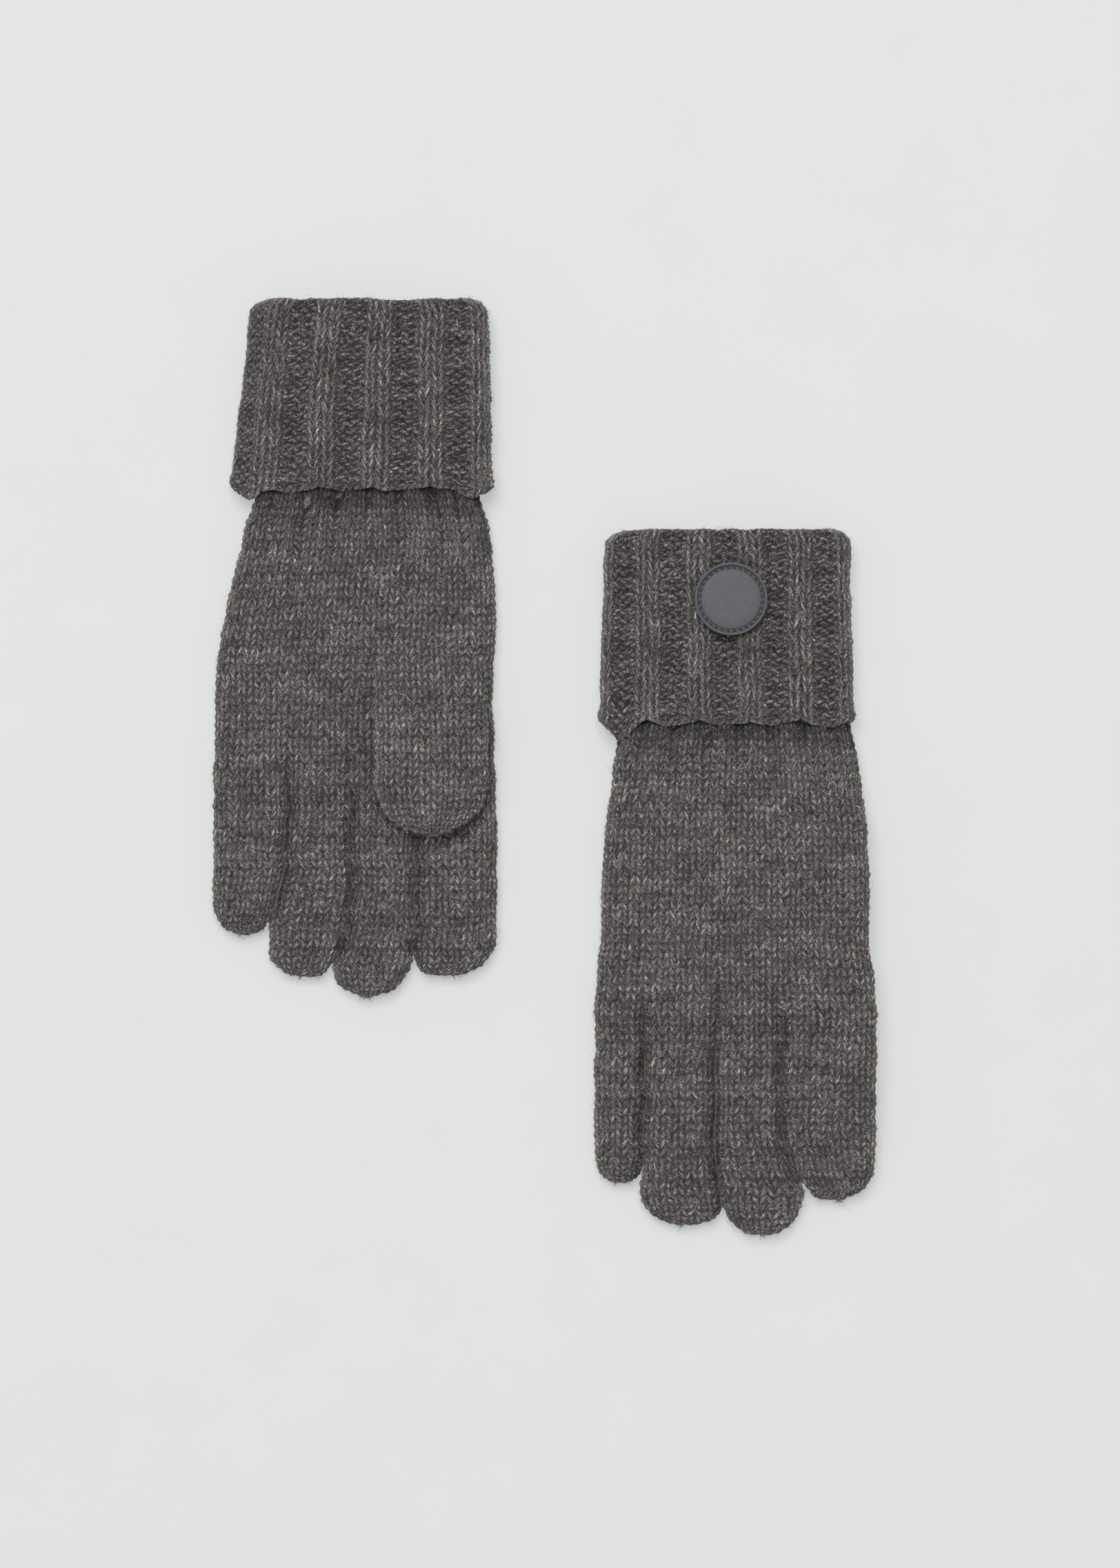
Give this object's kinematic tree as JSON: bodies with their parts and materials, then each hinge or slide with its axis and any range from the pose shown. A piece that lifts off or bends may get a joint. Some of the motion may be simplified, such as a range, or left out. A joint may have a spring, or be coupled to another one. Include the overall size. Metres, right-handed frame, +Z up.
{
  "type": "pair of knitted gloves",
  "caption": "Pair of heather-grey knitted gloves with turned-back ribbed cuffs, lying flat, one palm up with its thumb folded over, one back up with a bare round cuff badge.",
  "frame": {"origin": "middle of the pair in plan, on the surface it lies on", "axes": "+Y from the fingertips to the cuffs, +Z up from the surface, +X towards the thumb side of both gloves"},
  "size_m": [0.1932, 0.2704, 0.0163],
  "materials": {
    "plain_knit": "matt heather wool-blend stocking stitch",
    "rib_knit": "matt heather wool-blend rib",
    "badge": "fine matt grain, smooth rim",
    "stitching": "dark sewing thread"
  },
  "bodies": {
    "left_glove": {"left_wrist_rib": "rib_knit", "left_turned_cuff": "rib_knit", "left_hand": "plain_knit", "left_little_root": "plain_knit", "left_ring_root": "plain_knit", "left_middle_root": "plain_knit", "left_index_root": "plain_knit"},
    "right_glove": {"right_wrist_rib": "rib_knit", "right_turned_cuff": "rib_knit", "right_hand": "plain_knit", "cuff_badge": "badge", "badge_stitching": "stitching", "right_little_root": "plain_knit", "right_ring_root": "plain_knit", "right_middle_root": "plain_knit", "right_index_root": "plain_knit"},
    "left_little_end": {"left_little_tip": "plain_knit"},
    "left_ring_end": {"left_ring_tip": "plain_knit"},
    "left_middle_end": {"left_middle_tip": "plain_knit"},
    "left_index_end": {"left_index_tip": "plain_knit"},
    "left_thumb": {"left_thumb": "plain_knit"},
    "right_little_end": {"right_little_tip": "plain_knit"},
    "right_ring_end": {"right_ring_tip": "plain_knit"},
    "right_middle_end": {"right_middle_tip": "plain_knit"},
    "right_index_end": {"right_index_tip": "plain_knit"},
    "right_thumb": {"right_thumb": "plain_knit"}
  },
  "joints": [
    {"name": "left_little_bend", "type": "hinge", "parent": "left_glove", "child": "left_little_end", "pos_m": [-0.087, -0.02381, 0.0084], "axis": [-1, 0, 0], "range_deg": [0, 90]},
    {"name": "left_ring_bend", "type": "hinge", "parent": "left_glove", "child": "left_ring_end", "pos_m": [-0.0679, -0.02981, 0.0084], "axis": [-1, 0, 0], "range_deg": [0, 90]},
    {"name": "left_middle_bend", "type": "hinge", "parent": "left_glove", "child": "left_middle_end", "pos_m": [-0.0481, -0.03181, 0.0084], "axis": [-1, 0, 0], "range_deg": [0, 90]},
    {"name": "left_index_bend", "type": "hinge", "parent": "left_glove", "child": "left_index_end", "pos_m": [-0.0258, -0.02881, 0.0084], "axis": [-1, 0, 0], "range_deg": [0, 90]},
    {"name": "left_thumb_lift", "type": "hinge", "parent": "left_glove", "child": "left_thumb", "pos_m": [-0.0317, 0.03419, 0.0084], "axis": [-1, 0, 0], "range_deg": [0, 90]},
    {"name": "right_little_bend", "type": "hinge", "parent": "right_glove", "child": "right_little_end", "pos_m": [0.0228, -0.09241, 0.00072], "axis": [1, 0, 0], "range_deg": [0, 90]},
    {"name": "right_ring_bend", "type": "hinge", "parent": "right_glove", "child": "right_ring_end", "pos_m": [0.0416, -0.09841, 0.00343], "axis": [1, 0, 0], "range_deg": [0, 90]},
    {"name": "right_middle_bend", "type": "hinge", "parent": "right_glove", "child": "right_middle_end", "pos_m": [0.0619, -0.09941, 0.00524], "axis": [1, 0, 0], "range_deg": [0, 90]},
    {"name": "right_index_bend", "type": "hinge", "parent": "right_glove", "child": "right_index_end", "pos_m": [0.0843, -0.09541, 0.0061], "axis": [1, 0, 0], "range_deg": [0, 90]},
    {"name": "right_thumb_lift", "type": "hinge", "parent": "right_glove", "child": "right_thumb", "pos_m": [0.0789, -0.03241, 0.0079], "axis": [1, 0, 0], "range_deg": [0, 90]},
    {"name": "right_glove_lift", "type": "slide", "parent": "left_glove", "child": "right_glove", "axis": [0, 0, 1], "range_m": [0, 0.15]}
  ]
}
